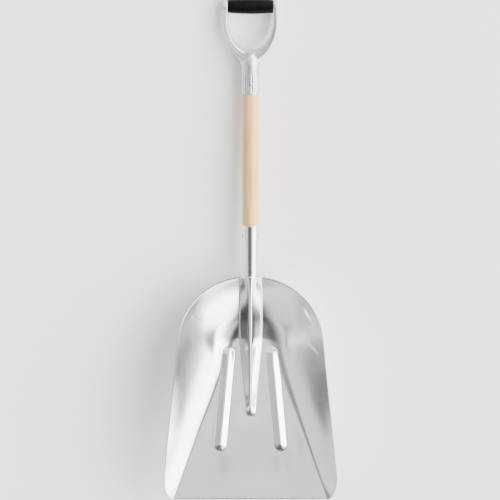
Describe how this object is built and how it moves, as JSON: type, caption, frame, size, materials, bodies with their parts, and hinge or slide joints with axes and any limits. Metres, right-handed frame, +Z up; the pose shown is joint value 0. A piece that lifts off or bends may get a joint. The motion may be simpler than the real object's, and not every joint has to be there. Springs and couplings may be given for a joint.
{
  "type": "grain scoop shovel",
  "caption": "Wide pressed sheet-metal scoop with a central ridge and ribs, a wooden handle and a D-shaped grip with a turning hand roll.",
  "frame": {"origin": "centre of the shovel's footprint, on the floor it lies on", "axes": "+X across the pan, +Y from the lip towards the grip, +Z up, with the concave side up"},
  "size_m": [0.3694, 1.0998, 0.1407],
  "materials": {
    "pan_metal": "bright rolled sheet",
    "wood": "clear lacquer",
    "yoke_metal": "satin silver-grey",
    "rivet_metal": "plain",
    "roll_plastic": "moulded, soft sheen"
  },
  "bodies": {
    "shovel": {"blade": "pan_metal", "socket": "pan_metal", "handle_shaft": "wood", "socket_rivet": "rivet_metal", "d_yoke": "yoke_metal", "ferrule_rivet": "rivet_metal", "grip_rod": "rivet_metal"},
    "roll": {"grip_roll": "roll_plastic"}
  },
  "joints": [
    {"name": "roll_spin", "type": "hinge", "parent": "shovel", "child": "roll", "pos_m": [0, 0.53368, 0.0163], "axis": [1, 0, 0], "continuous": true}
  ]
}
